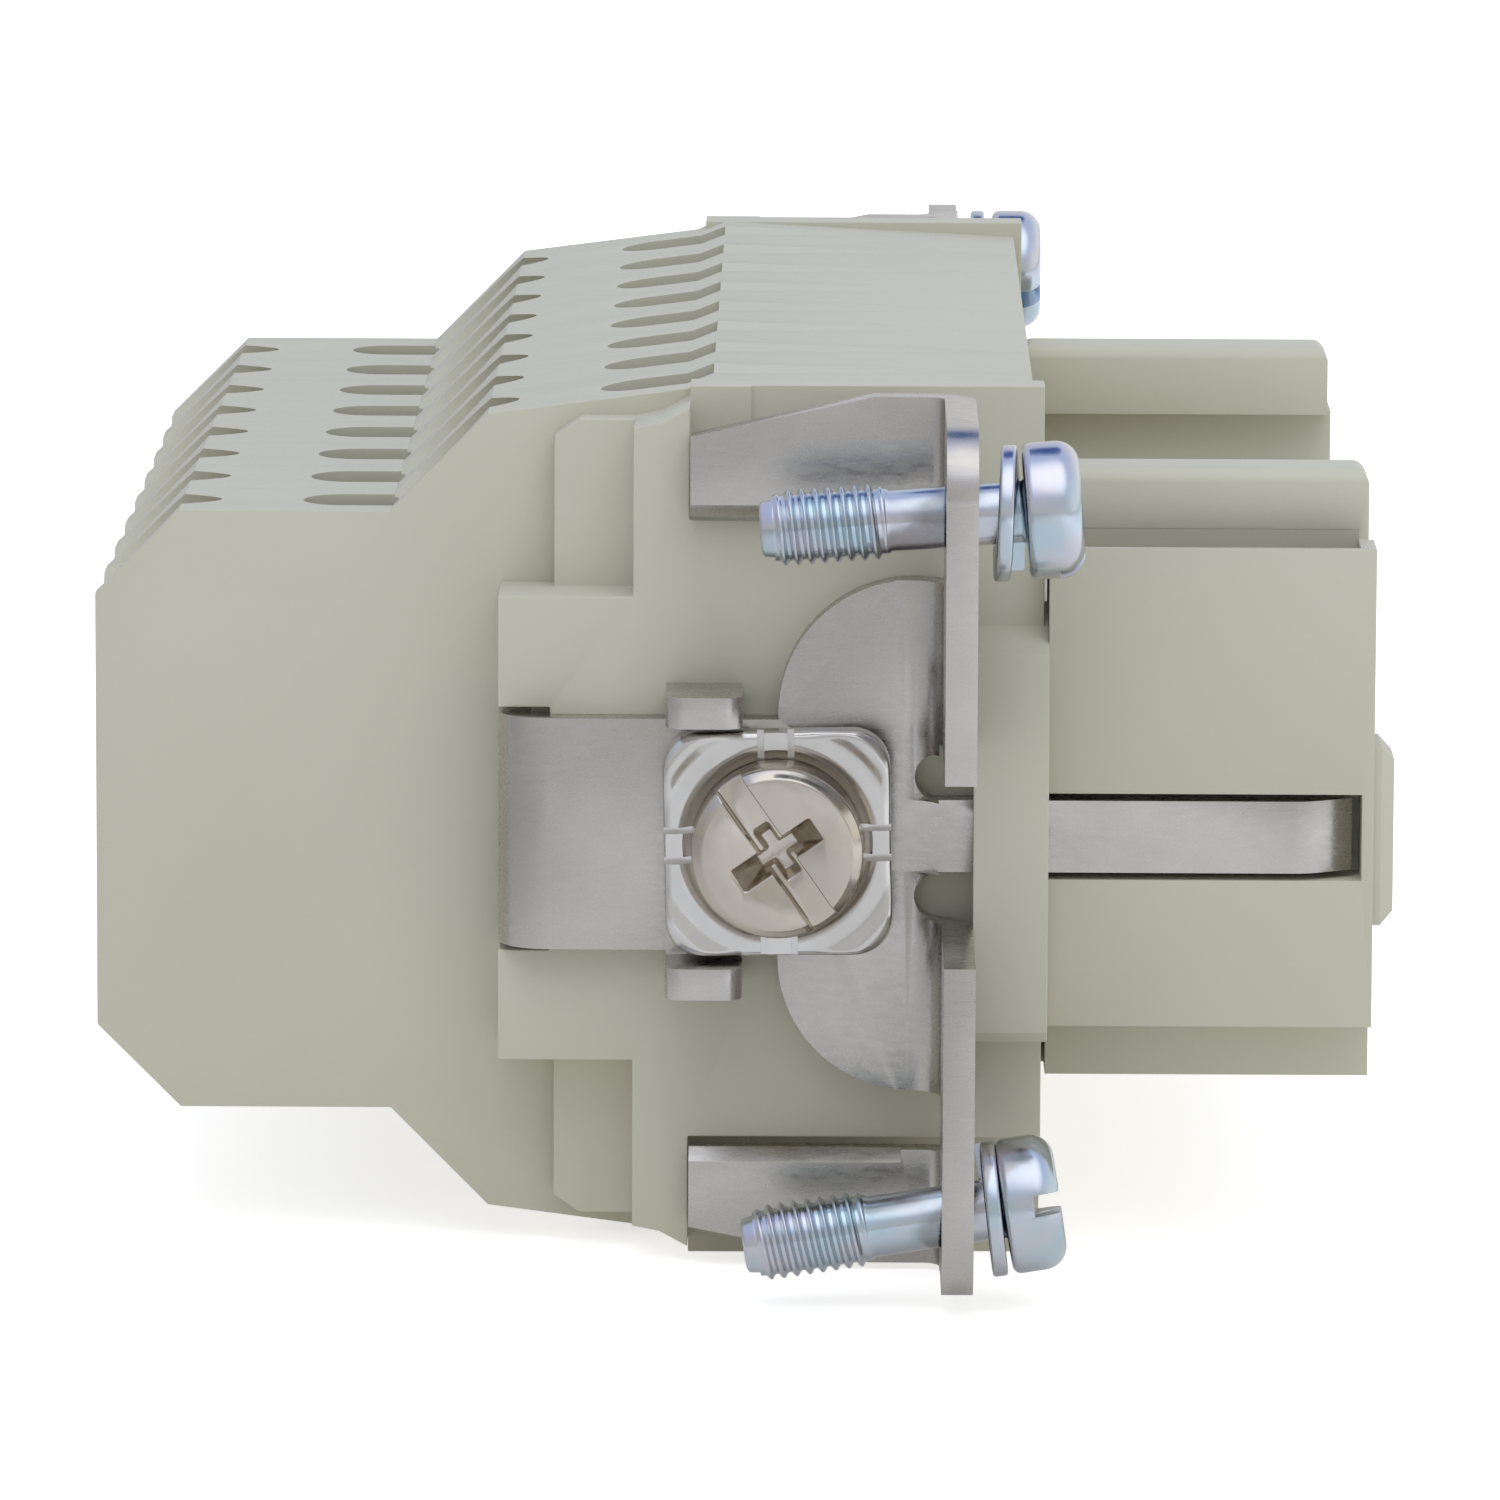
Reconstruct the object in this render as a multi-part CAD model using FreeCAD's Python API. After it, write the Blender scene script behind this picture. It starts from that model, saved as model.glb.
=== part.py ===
import FreeCAD, Part
import math
import os

from FreeCAD import Vector

# Female insert of a heavy duty industrial connector, 16 poles and earth, in millimetres.
# X points out of the mating side, Y runs along the long side, Z across the two contact rows.
# The origin is the centre of the four fixing holes, in the front face of the earth flanges.

# Poles
poles_per_row = 8
pitch = 6.6
row_z = 4.8
pin_bore_r = 1.25
socket_wall = 0.45
socket_recess = 0.8
pin_depth = 11.0

# Outline of one slice, upper half; the lower half is its mirror image
rear_x = -34.05
rear_bevel = 3.25
rear_flat_z = 11.75
step_rise = 3.85
step_foot_x = -22.6
step_lean = 0.05
plateau_x = -10.1
plateau_rise = 1.4
ledge_x = -11.1
ledge_drop = 0.4
front_x = 2.34
front_taper = 0.6
slice_wall = 1.1

# Wire funnels and screwdriver pockets, rear deck; the upper deck repeats them at this distance
deck_dx = 12.0
funnel_drop = 1.45
funnel_edge_r = 2.0
funnel_slope = 20.0
funnel_rim = 0.35
funnel_end_r = 1.0
pocket_w = 3.1
pocket_rear_span = (-26.1, -22.45)
pocket_upper_span = (-14.5, -10.1)

# Current bar and cage springs
bar_t = 0.6
bar_w = 2.8
rail_drop = 3.4
rail_rear_x = -27.7
link_x = -16.6
drop_x = -7.3
socket_back_x = -3.5
socket_root = 0.5
spring_t = 0.5
spring_w = 4.2
spring_loop_r = 2.1
spring_loop_cut = 1.25
spring_leg_x = -27.3
spring_base_x = -26.0
spring_nose_x = -21.2
spring_lip = 0.5
window_side_gap = 0.1
window_drop = 0.8

# Chambers inside a slice
chamber_gap = 0.6
chamber_rear_x = -27.9
chamber_front_x = -20.3
chamber_roof = 0.85
lane_half = 1.85
bar_gap_rear = 0.25
bar_gap_front = 0.05

# Mating block; sizes along Y are distances from the end of the stack of slices
block_front_x = 15.4
flank_out = 2.5
block_bottom_z = -9.8
core_top_z = 8.0
shoulder_top_z = 11.1
shoulder_start_y = 9.6
spigot_back_x = 0.3
spigot_half_z = 9.1
spigot_gap = 0.1
nose_out = 5.2
nose_bottom_z = -7.4
nose_top_z = 11.2
rib_w = 2.8
rib_top_z = 14.0
rib_front_x = 15.2
rib_far_y = 8.2
pad_x = 16.2
pad_half_z = 3.45
pad_w = 3.6
pad_inset = 0.3
pad_chamfer = 0.5
tongue_slot_half = 1.68
tongue_slot_front = 14.95
tongue_slot_depth = 2.6
hole_gap = 0.05

# End plates; sizes along Y are distances from the end of the stack of slices
step_out = 1.4
pocket_out = 1.8
seat_out = 2.1
face_out = 4.0
end_front_x = 2.7
arm_rear_x = -18.3
arm_inner_z = 4.75
arm_outer_z = 9.06
strap_room = 0.05
cheek_rear_x = -16.2
cheek_chamfer = (1.0, 0.7)
neck_x = -13.1
neck_drop = 0.6
neck_chamfer = (1.1, 0.6)
wing_wall_x = -10.95
wing_wall_gap = 0.25
seat_rib_x = -8.6
collar_over = 1.6
collar_front_x = 2.88
collar_bottom_z = -7.8
collar_foot = 0.8
collar_top_z = 3.8
collar_slope = (0.8, 3.4)
collar_head = 1.5
collar_bevel = 0.4
tongue_room = 0.1
end_cover = 0.8

# Earth bracket
sheet = 1.2
hole_out = 12.35
flange_edge = 3.5
flange_short = 0.75
flange_gap_top = 3.7
flange_gap_bottom = 2.9
flange_corner_r = 2.6
strap_half = 4.5
strap_rear_x = -18.3
strap_bend_r = 1.4
strap_leg_out = 0.9
flange_bend_r = 2.1
wing_bend_r = 1.25
wing_rear_x = -10.9
wing_height = 4.7
wing_rear_drop = 1.85
wing_peak_x = -3.9
wing_short = 0.25
wing_edge_bevel = 0.5
lobe_r = 5.2
lobe_centre = (-2.3, 4.75)
notch_end_x = -2.25
notch_r = 0.93
tongue_half = 1.4
tongue_front_x = 14.3
tongue_tip = (1.6, 0.9)
tongue_bend_r = 1.5
lug_span_x = (-11.8, -8.85)
lug_height = 3.4
lug_gap = 0.15
lug_root = 0.5
lug_root_r = 0.8
lug_corner_r = 0.7

# Earth terminal screw M4 and its clamp plate
earth_x = -7.5
earth_thread_r = 1.95
earth_thread_gap = 0.05
earth_collar_wall = 0.9
earth_collar_depth = 1.5
earth_collar_room = 0.2
earth_head_r = 3.28
earth_head_h = 2.7
earth_head_bevel = 0.35
earth_shank_end_out = 2.0
earth_hole_end_out = 0.8
earth_hole_room = 0.3
earth_slot_w = 1.1
earth_slot_depth = 1.0
earth_slot_turn = 35.0
cross_arm = 1.85
cross_half_w = 0.5
cross_depth = 1.6
cross_shrink = 1.05
clamp_side_gap = 0.25
clamp_t = 1.3
clamp_lift = 1.0
clamp_dish_depth = 0.4
clamp_dish_r = 3.9
clamp_corner_r = 1.3
clamp_groove_w = 1.5
clamp_hole_gap = 0.2

# Captive fixing screw M3 and split washer
screw_thread_r = 1.45
screw_shank_r = 1.1
screw_length = 10.0
screw_thread_length = 4.8
screw_tip_chamfer = 0.4
screw_head_r = 2.6
screw_head_h = 2.15
screw_head_bevel = (0.6, 0.4)
screw_slot_w = 0.8
screw_slot_depth = 1.0
fix_hole_gap = 0.3
washer_r = 2.6
washer_bore_gap = 0.12
washer_t = 0.65
washer_split = 0.45
washer_split_lean = 25.0

# How each fixing screw hangs: end, row side, tilt, drift of its axis towards the middle, lift of the
# head and of the washer off the flange, turn of the slot
screw_rest = [
    {"end": -1, "side": 1, "tilt": 4.2, "drift": 0.05, "head": 1.8, "washer": 0.75, "slot": 65.0},
    {"end": -1, "side": -1, "tilt": 9.0, "drift": 0.15, "head": 1.2, "washer": 0.43, "slot": 0.0},
    {"end": 1, "side": 1, "tilt": 0.0, "drift": 0.0, "head": 1.6, "washer": 0.6, "slot": 25.0},
    {"end": 1, "side": -1, "tilt": 0.0, "drift": 0.0, "head": 1.3, "washer": 0.4, "slot": 110.0},
]

# Sizes worked out from the ones above: heights of the slice and what follows them
upper_flat_z = rear_flat_z + step_rise
plateau_z = upper_flat_z + plateau_rise
rail_z = rear_flat_z - rail_drop
chamber_roof_z = rear_flat_z - chamber_roof
upper_flat_x = step_foot_x + step_rise - step_lean
flange_top_z = plateau_z
flange_bottom_z = plateau_z - flange_short
wing_inner_z = plateau_z - wing_height
wing_wall_z = wing_inner_z - wing_wall_gap
fix_z = plateau_z - flange_edge

# Places along the long side, from the end of the stack outwards
stack_half = poles_per_row * pitch / 2
block_half_y = stack_half + flank_out
nose_reach = stack_half + nose_out
step_face = stack_half + step_out
wing_pocket = stack_half + pocket_out
wing_seat = stack_half + seat_out
plate_back = stack_half + face_out
plate_face = plate_back + sheet
collar_reach = plate_face + collar_over
lug_reach = plate_face + lug_height
fix_y = stack_half + hole_out
flange_reach = fix_y + flange_edge
strap_leg = stack_half + strap_leg_out
earth_shank_end = stack_half + earth_shank_end_out
earth_hole_end = stack_half + earth_hole_end_out

socket_r = pin_bore_r + socket_wall
mouth_x = block_front_x - socket_recess
flange_bend_inner = flange_bend_r - sheet / 2
flange_bend_outer = flange_bend_r + sheet / 2
fix_hole_r = screw_shank_r + fix_hole_gap
clamp_face = plate_face + clamp_lift + clamp_t
clamp_half = strap_half + lug_gap - clamp_side_gap
X_AXIS = Vector(1, 0, 0)
Y_AXIS = Vector(0, 1, 0)
Z_AXIS = Vector(0, 0, 1)
ORIGIN = Vector(0, 0, 0)
SAME = 1e-6


# A box between two limits along each axis
def span_box(x, y, z):
    low = Vector(min(x), min(y), min(z))
    return Part.makeBox(abs(x[1] - x[0]), abs(y[1] - y[0]), abs(z[1] - z[0]), low)


# A prism whose outline lies in the XZ plane
def prism(points, y):
    corners = [Vector(px, y[0], pz) for px, pz in points]
    face = Part.Face(Part.makePolygon(corners + [corners[0]]))
    return face.extrude(Vector(0, y[1] - y[0], 0))


def mirrored(shape):
    return shape.mirror(ORIGIN, Z_AXIS)


# The far end is the near end turned half way round the mating axis
def at_far_end(shape):
    turned = shape.copy()
    turned.rotate(ORIGIN, X_AXIS, 180)
    return turned


# Outline of bent strip: straight runs joined by bends, given along the middle of its thickness.
# A bend of no radius is a sharp corner.
def strip_face(path, radii, thickness, lift):
    runs = [Vector(*p, 0) for p in path]
    heading = [(b - a).normalize() for a, b in zip(runs, runs[1:])]
    left = [Vector(-d.y, d.x, 0) for d in heading]
    sides = []
    for side in (1, -1):
        reach = side * thickness / 2
        edges = []
        last = runs[0] + left[0] * reach
        for i, radius in enumerate(radii):
            turn = heading[i].getAngle(heading[i + 1])
            middle = (left[i] + left[i + 1]).normalize()
            if radius == 0:
                corner = runs[i + 1] + middle * (reach / math.cos(turn / 2))
                edges.append([last, corner])
                last = corner
                continue
            sign = 1 if heading[i].cross(heading[i + 1]).z > 0 else -1
            start = runs[i + 1] - heading[i] * (radius * math.tan(turn / 2))
            centre = start + left[i] * (sign * radius)
            arm = reach - sign * radius
            arc = [centre + left[i] * arm, centre + middle * arm, centre + left[i + 1] * arm]
            edges.append([last, arc[0]])
            edges.append(arc)
            last = arc[2]
        edges.append([last, runs[-1] + left[-1] * reach])
        sides.append(edges)
    back = [list(reversed(edge)) for edge in reversed(sides[1])]
    ring = sides[0] + [[sides[0][-1][-1], back[0][0]]] + back + [[back[-1][-1], sides[0][0][0]]]
    edges = []
    for points in ring:
        if (points[-1] - points[0]).Length < SAME:
            continue
        placed = [lift(p) for p in points]
        curve = Part.Arc(*placed) if len(placed) == 3 else Part.LineSegment(*placed)
        edges.append(curve.toShape())
    return Part.Face(Part.Wire(edges))


def strip_along_y(path, radii, thickness, y):
    face = strip_face(path, radii, thickness, lambda p: Vector(p.x, y[0], p.y))
    return face.extrude(Vector(0, y[1] - y[0], 0))


def strip_along_z(path, radii, thickness, z):
    face = strip_face(path, radii, thickness, lambda p: Vector(p.x, p.y, z[0]))
    return face.extrude(Vector(0, 0, z[1] - z[0]))


def slice_middle(index):
    return -stack_half + pitch * (index + 0.5)


def slice_outline():
    upper = [
        (rear_x, rear_flat_z - rear_bevel),
        (rear_x + rear_bevel, rear_flat_z),
        (step_foot_x, rear_flat_z),
        (upper_flat_x, upper_flat_z),
        (ledge_x, plateau_z - ledge_drop),
        (plateau_x, plateau_z),
        (front_x, plateau_z - front_taper),
        (front_x, spigot_half_z + spigot_gap),
        (spigot_back_x, spigot_half_z + spigot_gap),
    ]
    lower = [(px, -pz) for px, pz in reversed(upper)]
    return upper + lower


# Open chamber of one pole: rear cage, upper cage, way of the current bar and lane of the socket
def chamber_outline():
    bar_half = bar_t / 2
    floor_z = rail_z - bar_half - spring_t - 2 * spring_loop_r - chamber_gap
    upper_floor_z = floor_z + step_rise
    upper_rear_x = chamber_rear_x + deck_dx
    passage_top = rail_z + bar_half + chamber_gap
    return [
        (chamber_rear_x, floor_z),
        (chamber_front_x, floor_z),
        (chamber_front_x, upper_floor_z),
        (drop_x - chamber_gap, upper_floor_z),
        (drop_x - chamber_gap, row_z - lane_half),
        (spigot_back_x, row_z - lane_half),
        (spigot_back_x, row_z + lane_half),
        (drop_x + chamber_gap, row_z + lane_half),
        (drop_x + chamber_gap, passage_top + step_rise),
        (chamber_front_x + deck_dx, chamber_roof_z + step_rise),
        (upper_rear_x, chamber_roof_z + step_rise),
        (upper_rear_x, rail_z + bar_half + step_rise + bar_gap_rear),
        (link_x - chamber_gap, rail_z + bar_half + step_rise + bar_gap_front),
        (link_x - chamber_gap, passage_top),
        (chamber_front_x, passage_top),
        (chamber_front_x, chamber_roof_z),
        (chamber_rear_x, chamber_roof_z),
    ]


# Cone that opens towards the wire, cut into the slanted face above foot_x, and runs through to the cage
def wire_funnel(foot_x, edge_x, flat_z, middle_y):
    slope = math.tan(math.radians(funnel_slope))
    mouth_r = pitch / 2 - funnel_rim
    axis_z = flat_z - funnel_drop
    rim_x = edge_x - (mouth_r - funnel_edge_r) / slope
    end_x = edge_x + (funnel_edge_r - funnel_end_r) / slope
    cone = Part.makeCone(mouth_r, funnel_end_r, end_x - rim_x, Vector(rim_x, middle_y, axis_z), X_AXIS)
    lead = Part.makeCylinder(mouth_r, mouth_r, Vector(rim_x - mouth_r, middle_y, axis_z), X_AXIS)
    side = (middle_y - mouth_r, middle_y + mouth_r)
    room = span_box((foot_x, end_x), side, (axis_z - mouth_r, axis_z + mouth_r))
    return cone.fuse(lead).common(room)


# Pocket for a screwdriver blade: round at its rear end, square at its front end
def driver_pocket(span, floor_z, top_z, middle_y):
    radius = pocket_w / 2
    height = top_z - floor_z
    end = Part.makeCylinder(radius, height, Vector(span[0] + radius, middle_y, floor_z), Z_AXIS)
    body = span_box((span[0] + radius, span[1]), (middle_y - radius, middle_y + radius), (floor_z, top_z))
    return end.fuse(body)


def contact_module(index):
    middle = slice_middle(index)
    low = middle - pitch / 2
    high = middle + pitch / 2
    body = prism(slice_outline(), (low, high))
    cuts = [prism(chamber_outline(), (low + slice_wall, high))]
    cuts.append(wire_funnel(rear_x, rear_x + rear_bevel, rear_flat_z, middle))
    cuts.append(wire_funnel(step_foot_x, upper_flat_x, upper_flat_z, middle))
    floor_z = chamber_roof_z - chamber_roof
    cuts.append(driver_pocket(pocket_rear_span, floor_z, rear_flat_z + chamber_roof, middle))
    cuts.append(driver_pocket(pocket_upper_span, floor_z + step_rise, plateau_z + chamber_roof, middle))
    cuts += [mirrored(cut) for cut in cuts]
    return body.cut(cuts).removeSplitter()


# Socket with its bore, and the stepped bar that runs back past both cages
def contact(index, side):
    middle = slice_middle(index)
    path = [
        (rail_rear_x, rail_z),
        (link_x, rail_z),
        (link_x, rail_z + step_rise),
        (drop_x, rail_z + step_rise),
        (drop_x, row_z),
        (socket_back_x + socket_root, row_z),
    ]
    bar = strip_along_y(path, [0] * 4, bar_t, (middle - bar_w / 2, middle + bar_w / 2))
    back = Vector(socket_back_x, middle, row_z)
    barrel = Part.makeCylinder(socket_r, mouth_x - socket_back_x, back, X_AXIS)
    bore = Part.makeCylinder(pin_bore_r, pin_depth, Vector(mouth_x - pin_depth, middle, row_z), X_AXIS)
    piece = bar.fuse(barrel).cut(bore).removeSplitter()
    return piece if side > 0 else mirrored(piece)


# Cage spring: base under the rail, loop with flattened bends, and a leg whose window hooks over the rail
def cage_spring(middle, dx, dz):
    rail_bottom = rail_z - bar_t / 2
    rail_top = rail_z + bar_t / 2
    base_z = rail_bottom - spring_t / 2
    floor_z = base_z - 2 * spring_loop_r
    loop = [
        (spring_base_x, base_z),
        (spring_nose_x - spring_loop_cut, base_z),
        (spring_nose_x, base_z - spring_loop_cut),
        (spring_nose_x, floor_z + spring_loop_cut),
        (spring_nose_x - spring_loop_cut, floor_z),
        (spring_leg_x, floor_z),
        (spring_leg_x, rail_top + spring_lip),
    ]
    path = [(px + dx, pz + dz) for px, pz in loop]
    strip = strip_along_y(path, [0] * 5, spring_t, (middle - spring_w / 2, middle + spring_w / 2))
    half = bar_w / 2 + window_side_gap
    leg_x = (spring_leg_x + dx - spring_t, spring_leg_x + dx + spring_t)
    window = span_box(leg_x, (middle - half, middle + half), (rail_bottom - window_drop + dz, rail_top + dz))
    return strip.cut(window)


def clamp_springs(index):
    middle = slice_middle(index)
    springs = [cage_spring(middle, 0.0, 0.0), cage_spring(middle, deck_dx, step_rise)]
    springs += [mirrored(spring) for spring in springs]
    return Part.makeCompound(springs)


def mating_block():
    length = (front_x, block_front_x)
    body = span_box(length, (-stack_half, stack_half), (block_bottom_z, core_top_z))
    shoulder = span_box(length, (shoulder_start_y, stack_half), (core_top_z, shoulder_top_z))
    spigot_y = (spigot_gap - stack_half, stack_half - spigot_gap)
    spigot = span_box((spigot_back_x, front_x), spigot_y, (-spigot_half_z, spigot_half_z))
    rib = span_box((front_x, rib_front_x), (rib_far_y, rib_far_y + rib_w), (core_top_z, rib_top_z))
    undercut = span_box((front_x, rib_front_x), (rib_far_y, shoulder_start_y), (core_top_z, shoulder_top_z))
    parts = [shoulder, spigot, rib.cut(undercut)]
    for end in (-1, 1):
        flank_y = (end * stack_half, end * block_half_y)
        flank_top = core_top_z if end < 0 else shoulder_top_z
        parts.append(span_box((collar_front_x, block_front_x), flank_y, (block_bottom_z, flank_top)))
        nose_y = (end * block_half_y, end * nose_reach)
        parts.append(span_box((collar_front_x, block_front_x), nose_y, (nose_bottom_z, nose_top_z)))
        pad_y = (end * (nose_reach - pad_inset), end * (nose_reach - pad_inset - pad_w))
        pad = span_box((block_front_x, pad_x), pad_y, (-pad_half_z, pad_half_z))
        front_edges = [e for e in pad.Edges if all(abs(v.X - pad_x) < SAME for v in e.Vertexes)]
        parts.append(pad.makeChamfer(pad_chamfer, front_edges))
    rib_y = (-block_half_y, -block_half_y + rib_w)
    parts.append(span_box((collar_front_x, rib_front_x), rib_y, (core_top_z, rib_top_z)))
    body = body.fuse(parts)
    cuts = []
    for end in (-1, 1):
        slot_y = (end * (nose_reach + 1), end * (nose_reach - tongue_slot_depth))
        slot_z = (-tongue_slot_half, tongue_slot_half)
        cuts.append(span_box((collar_front_x - 1, tongue_slot_front), slot_y, slot_z))
    for index in range(poles_per_row):
        for side in (-1, 1):
            start = Vector(spigot_back_x - 1, slice_middle(index), side * row_z)
            cuts.append(Part.makeCylinder(socket_r + hole_gap, block_front_x + 2, start, X_AXIS))
    return body.cut(cuts).removeSplitter()


# Outline of the end plate at three depths, upper half
def end_outline(with_cheek, with_wing_seat):
    top_z = plateau_z if with_wing_seat else wing_wall_z
    neck_top_z = plateau_z - neck_drop
    points = [
        (end_front_x, 0),
        (end_front_x, top_z),
        (wing_wall_x, top_z),
        (wing_wall_x, neck_top_z),
        (wing_wall_x - neck_chamfer[0], neck_top_z - neck_chamfer[1]),
        (neck_x, upper_flat_z),
    ]
    if with_cheek:
        points += [
            (cheek_rear_x + cheek_chamfer[0], upper_flat_z),
            (cheek_rear_x, upper_flat_z - cheek_chamfer[1]),
            (cheek_rear_x, arm_outer_z),
        ]
    else:
        points.append((neck_x, arm_outer_z))
    strap_inner_x = strap_rear_x + sheet + strap_room
    return points + [
        (arm_rear_x, arm_outer_z),
        (arm_rear_x, arm_inner_z),
        (strap_inner_x, arm_inner_z),
        (strap_inner_x, 0),
    ]


def whole_outline(upper):
    lower = [(px, -pz) for px, pz in reversed(upper)]
    return upper[1:-1] + lower[1:-1]


# Collar in front of the flange, bridging the earth tongue
def collar():
    profile = [
        (-wing_seat, collar_top_z + collar_slope[1] + collar_head),
        (-wing_seat, collar_bottom_z - collar_foot),
        (-collar_reach + collar_bevel, collar_bottom_z),
        (-collar_reach, collar_bottom_z + collar_bevel),
        (-collar_reach, collar_top_z),
        (-collar_reach + collar_slope[0], collar_top_z + collar_slope[1]),
    ]
    corners = [Vector(0, py, pz) for py, pz in profile]
    body = Part.Face(Part.makePolygon(corners + [corners[0]])).extrude(Vector(collar_front_x, 0, 0))
    way_y = (-plate_face - tongue_room, -plate_back + tongue_room)
    way_z = (-tongue_half - tongue_room, tongue_half + tongue_room)
    return body.cut(span_box((-1, collar_front_x + 1), way_y, way_z))


def end_plate():
    body = prism(whole_outline(end_outline(True, True)), (-step_face, -stack_half))
    upper_seat = span_box((wing_wall_x, seat_rib_x), (-wing_seat, -wing_pocket), (wing_wall_z, plateau_z))
    parts = [
        prism(whole_outline(end_outline(False, True)), (-wing_pocket, -step_face)),
        prism(whole_outline(end_outline(False, False)), (-plate_back, -wing_pocket)),
        upper_seat,
        mirrored(upper_seat),
    ]
    body = body.fuse(parts)
    face = Vector(earth_x, -plate_back, 0)
    pocket_r = earth_thread_r + earth_thread_gap + earth_collar_wall + earth_collar_room
    pocket = Part.makeCylinder(pocket_r, earth_collar_depth + earth_collar_room, face, Y_AXIS)
    hole_r = earth_thread_r + earth_hole_room
    shank_hole = Part.makeCylinder(hole_r, plate_back - earth_hole_end, face, Y_AXIS)
    bend_x = (strap_rear_x + sheet / 2, strap_rear_x + sheet / 2 + strap_bend_r)
    bend_y = (-plate_back, -plate_back + strap_bend_r - sheet / 2)
    bend_room = span_box(bend_x, bend_y, (-arm_inner_z, arm_inner_z))
    return body.fuse(collar()).cut([pocket, shank_hole, bend_room]).removeSplitter()


# The far plate also closes the open chambers of the last slice
def end_plate_far():
    cover = prism(slice_outline(), (stack_half, stack_half + end_cover))
    return at_far_end(end_plate()).fuse(cover).removeSplitter()


# Half of the flange with its lobe, wing and bends, seen on the upper side
def bracket_half(gap_z, top_z, wing_top_z):
    mid_x = -sheet / 2
    mid_y = -plate_face + sheet / 2
    lobe_top = lobe_centre[1] + math.sqrt(lobe_r ** 2 - (lobe_centre[0] + flange_bend_outer) ** 2)
    lobe_path = [(-flange_bend_outer - sheet / 4, mid_y), (mid_x, mid_y), (mid_x, -flange_reach)]
    lobe_bend = strip_along_z(lobe_path, [flange_bend_r], sheet, (0, lobe_top))
    wing_path = [(wing_rear_x, mid_y), (mid_x, mid_y), (mid_x, -flange_reach)]
    wing = strip_along_z(wing_path, [wing_bend_r], sheet, (wing_inner_z, wing_top_z))
    wing_y = (-plate_face - sheet, -plate_back + sheet)
    trim = prism([
        (wing_rear_x - sheet, plateau_z - wing_rear_drop),
        (wing_peak_x, wing_top_z),
        (wing_peak_x, plateau_z + sheet),
        (wing_rear_x - sheet, plateau_z + sheet),
    ], wing_y)
    bevel = Part.Face(Part.makePolygon([
        Vector(wing_rear_x, -plate_face, wing_inner_z + wing_edge_bevel),
        Vector(wing_rear_x, -plate_face, wing_inner_z),
        Vector(wing_rear_x, -plate_face + wing_edge_bevel, wing_inner_z),
        Vector(wing_rear_x, -plate_face, wing_inner_z + wing_edge_bevel),
    ])).extrude(Vector(-wing_rear_x - flange_bend_outer, 0, 0))
    bend_centre_y = -plate_face - flange_bend_inner
    flange = span_box((-sheet, 0), (-flange_reach, bend_centre_y), (gap_z, top_z))
    flange_trim = span_box((-2 * sheet, 1), (-flange_reach - 1, bend_centre_y), (top_z, plateau_z + sheet))
    half = lobe_bend.fuse([wing.cut([trim, bevel, flange_trim]), flange])
    corner_edges = [
        edge for edge in half.Edges
        if all(abs(v.Y + flange_reach) + abs(v.Z - top_z) < SAME for v in edge.Vertexes)
    ]
    half = half.makeFillet(flange_corner_r, corner_edges)
    notch_x = notch_end_x + notch_r
    notch_y = (-flange_reach - 1, -plate_back + 1)
    hole = Part.makeCylinder(fix_hole_r, 3 * sheet, Vector(-2 * sheet, -fix_y, fix_z), X_AXIS)
    notch_start = Vector(notch_x, notch_y[0], tongue_half + notch_r)
    notch = Part.makeCylinder(notch_r, notch_y[1] - notch_y[0], notch_start, Y_AXIS)
    notch_way = span_box((notch_x, 1), notch_y, (0, max(gap_z, tongue_half + 2 * notch_r)))
    tongue_way = span_box((-flange_bend_outer, 1), notch_y, (0, tongue_half))
    return half.cut([hole, notch, notch_way, tongue_way])


# Round lobe that stiffens the strap beside the flange
def bracket_lobe():
    cx, cz = lobe_centre
    disc = Part.makeCylinder(lobe_r, sheet, Vector(cx, -plate_face, cz), Y_AXIS)
    keep_x = (cx - lobe_r, -flange_bend_outer)
    return disc.common(span_box(keep_x, (-plate_face, -plate_back), (strap_half - lug_root, cz + lobe_r)))


# Lug that stands up beside the clamp plate and keeps it from turning
def bracket_lug():
    lug_z = (strap_half + lug_gap, strap_half + lug_gap + sheet)
    lug = span_box(lug_span_x, (-lug_reach, -plate_back), lug_z)
    root = span_box(lug_span_x, (-plate_face, -plate_back), (strap_half - lug_root, lug_z[1]))
    lug = lug.fuse(root)
    root_edges = [
        edge for edge in lug.Edges
        if all(abs(v.Z - lug_z[1]) + abs(v.Y + plate_back) < SAME for v in edge.Vertexes)
    ]
    lug = lug.makeFillet(lug_root_r, root_edges)
    tip_edges = [
        edge for edge in lug.Edges
        if abs(edge.Length - sheet) < SAME and all(abs(v.Y + lug_reach) < SAME for v in edge.Vertexes)
    ]
    return lug.makeFillet(lug_corner_r, tip_edges)


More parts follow.
